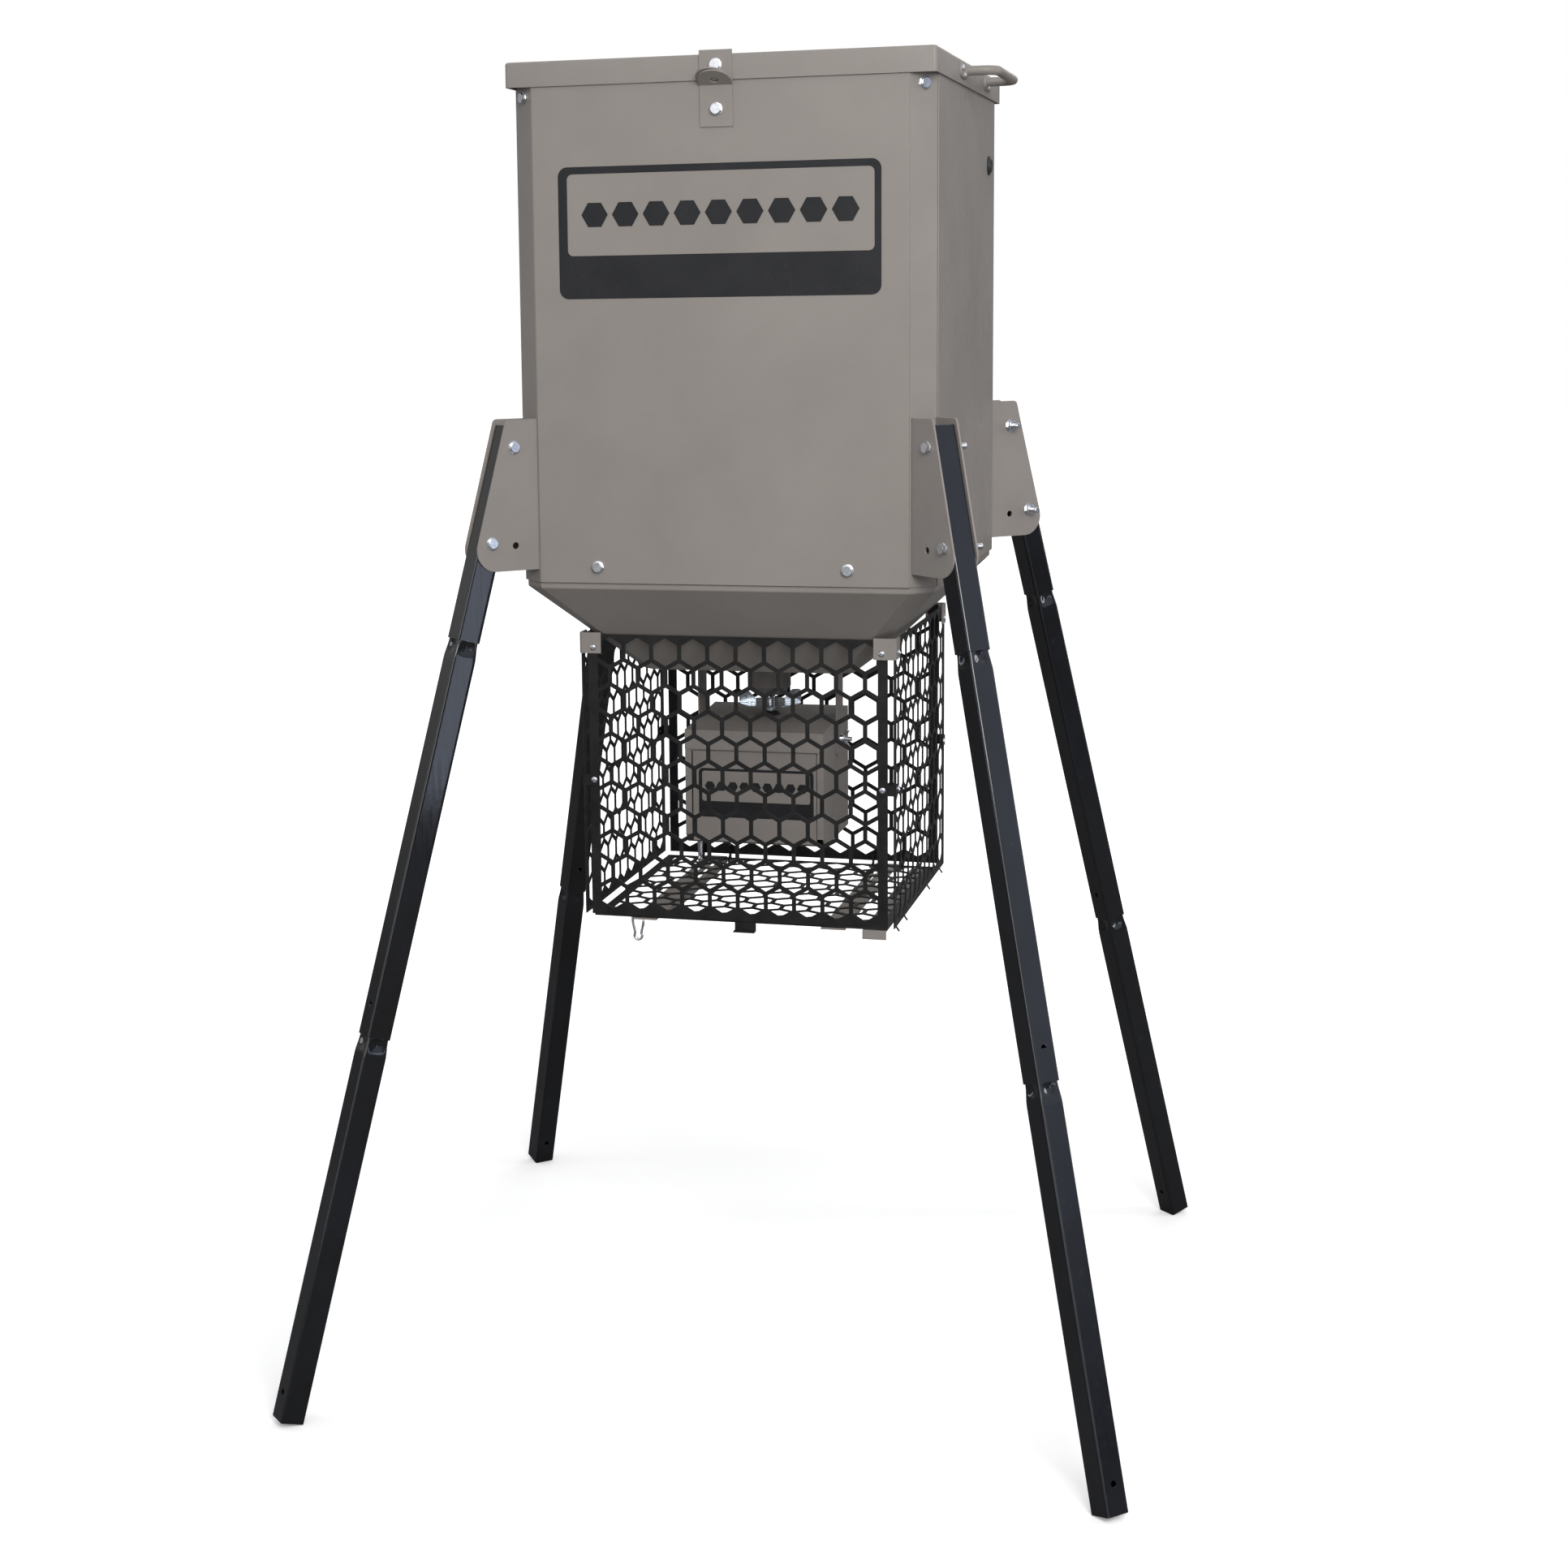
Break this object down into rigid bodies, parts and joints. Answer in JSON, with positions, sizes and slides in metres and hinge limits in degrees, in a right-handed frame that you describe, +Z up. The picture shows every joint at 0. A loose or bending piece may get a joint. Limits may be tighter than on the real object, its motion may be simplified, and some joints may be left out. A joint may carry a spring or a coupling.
{
  "type": "spin cast feeder",
  "caption": "Square sheet-steel hopper on splayed legs, with a funnel over a motor-driven spinner, a hung control box and a hexagon-mesh cage.",
  "frame": {"origin": "on the ground, under the middle of the hopper", "axes": "+Z up; the front with the labels faces -Y"},
  "size_m": [1.0742, 1.0742, 1.7002],
  "materials": {
    "taupe": "semi-matte powder coat",
    "leg_black": "gloss enamel with worn edges",
    "mesh_black": "satin powder coat",
    "zinc": "bright zinc plate",
    "galvanised": "dull galvanised sheet",
    "motor_steel": "drawn steel",
    "rubber": "matte",
    "label": "printed vinyl",
    "plastic": "moulded",
    "display": "display window",
    "button": "soft key"
  },
  "bodies": {
    "feeder": {"front_panel": "taupe", "back_panel": "taupe", "left_panel": "taupe", "right_panel": "taupe", "corner_posts": "taupe", "funnel_front": "taupe", "funnel_back": "taupe", "funnel_left": "taupe", "funnel_right": "taupe", "funnel_corners": "taupe", "funnel_floor": "taupe", "spout": "taupe", "front_left_bracket": "taupe", "front_right_bracket": "taupe", "back_left_bracket": "taupe", "back_right_bracket": "taupe", "body_hasps": "taupe", "cage_top_clips": "taupe", "hanger_straps": "taupe", "control_box": "taupe", "upper_legs": "leg_black", "middle_legs": "leg_black", "lower_legs": "leg_black", "cage_front": "mesh_black", "cage_back": "mesh_black", "cage_left": "mesh_black", "cage_right": "mesh_black", "cage_side_clips": "mesh_black", "panel_bolts": "zinc", "leg_bolts": "zinc", "leg_nuts": "zinc", "cage_screws": "zinc", "hinge_pins": "zinc", "box_studs": "zinc", "motor": "motor_steel", "side_plug": "rubber", "motor_bushing": "rubber", "front_label": "label", "battery": "plastic", "timer_module": "plastic", "timer_display": "display"},
    "lid": {"lid_pan": "taupe", "lid_handles": "taupe", "lid_screws": "zinc", "lid_hasps": "taupe"},
    "spinner": {"motor_shaft": "motor_steel", "spinner_plate": "galvanised"},
    "cage_door": {"cage_floor": "mesh_black", "floor_bars": "taupe"},
    "floor_hook": {"floor_snap_hook": "zinc"},
    "hook_gate": {"floor_hook_gate": "zinc"},
    "box_hook": {"box_snap_hook": "zinc"},
    "box_door": {"box_door": "taupe", "box_label": "label"},
    "left_wing_nut": {"left_wing_nut": "zinc"},
    "right_wing_nut": {"right_wing_nut": "zinc"},
    "set_button": {"set_button": "button"},
    "up_button": {"up_button": "button"},
    "down_button": {"down_button": "button"}
  },
  "joints": [
    {"name": "lid_lift", "type": "slide", "parent": "feeder", "child": "lid", "axis": [0, 0, 1], "range_m": [0, 0.35]},
    {"name": "spinner_spin", "type": "hinge", "parent": "feeder", "child": "spinner", "pos_m": [0, 0, 0.845], "axis": [0, 0, 1], "continuous": true},
    {"name": "cage_door_hinge", "type": "hinge", "parent": "feeder", "child": "cage_door", "pos_m": [0, 0.187, 0.59719], "axis": [1, 0, 0], "range_deg": [0, 95]},
    {"name": "floor_hook_swing", "type": "hinge", "parent": "cage_door", "child": "floor_hook", "pos_m": [-0.1372, -0.188, 0.60464], "axis": [1, 0, 0], "range_deg": [-12, 12]},
    {"name": "hook_gate_hinge", "type": "hinge", "parent": "floor_hook", "child": "hook_gate", "pos_m": [-0.13, -0.188, 0.58979], "axis": [0, -1, 0], "range_deg": [0, 20], "stiffness_Nm_per_rad": 0.02},
    {"name": "box_hook_swing", "type": "hinge", "parent": "feeder", "child": "box_hook", "pos_m": [-0.104, 0.012, 0.67919], "axis": [1, 0, 0], "range_deg": [-30, 30]},
    {"name": "box_door_hinge", "type": "hinge", "parent": "feeder", "child": "box_door", "pos_m": [0, -0.094, 0.80919], "axis": [-1, 0, 0], "range_deg": [0, 45]},
    {"name": "left_wing_nut_turn", "type": "hinge", "parent": "feeder", "child": "left_wing_nut", "pos_m": [-0.1, 0, 0.81419], "axis": [1, 0, 0], "continuous": true},
    {"name": "right_wing_nut_turn", "type": "hinge", "parent": "feeder", "child": "right_wing_nut", "pos_m": [0.1, 0, 0.81419], "axis": [1, 0, 0], "continuous": true},
    {"name": "set_button_press", "type": "slide", "parent": "feeder", "child": "set_button", "axis": [0, 1, 0], "range_m": [0, 0.0015], "stiffness_N_per_m": 300},
    {"name": "up_button_press", "type": "slide", "parent": "feeder", "child": "up_button", "axis": [0, 1, 0], "range_m": [0, 0.0015], "stiffness_N_per_m": 300},
    {"name": "down_button_press", "type": "slide", "parent": "feeder", "child": "down_button", "axis": [0, 1, 0], "range_m": [0, 0.0015], "stiffness_N_per_m": 300}
  ]
}
